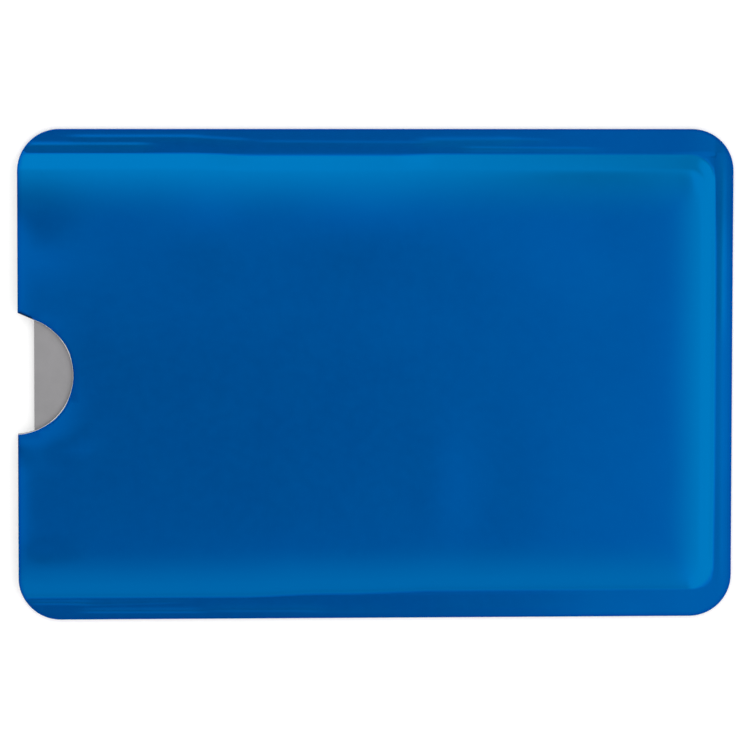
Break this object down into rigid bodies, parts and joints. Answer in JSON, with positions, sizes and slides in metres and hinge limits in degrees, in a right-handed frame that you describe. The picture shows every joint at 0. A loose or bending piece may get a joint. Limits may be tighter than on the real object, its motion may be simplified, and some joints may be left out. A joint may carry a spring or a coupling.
{
  "type": "rfid card sleeve",
  "caption": "Flat foil-laminate card sleeve, heat-sealed on both long sides and one end, with a round thumb notch at its open end and a blank card that slides out.",
  "frame": {"origin": "middle of the sleeve's outline, on the outer face of the back panel that it lies on", "axes": "+X runs from the open mouth to the sealed end, +Y across the card, +Z out of the front panel"},
  "size_m": [0.092, 0.063, 0.0015],
  "materials": {
    "print_film": "metallic blue print under a gloss film",
    "paper_core": "uncoated white paper, seen only at cut edges",
    "shield_foil": "bright rolled foil",
    "seal_lining": "satin heat-seal film over foil",
    "card_core": "matt grey",
    "card_overlay": "fine satin grey"
  },
  "bodies": {
    "sleeve": {"front_print_film": "print_film", "front_paper_core": "paper_core", "front_shield_foil": "shield_foil", "front_seal_lining": "seal_lining", "back_print_film": "print_film", "back_paper_core": "paper_core", "back_shield_foil": "shield_foil", "back_seal_lining": "seal_lining"},
    "card": {"card_core": "card_core", "card_front_overlay": "card_overlay", "card_back_overlay": "card_overlay"}
  },
  "joints": [
    {"name": "card_slide", "type": "slide", "parent": "sleeve", "child": "card", "axis": [-1, 0, 0], "range_m": [-0.00085, 0.09]}
  ]
}
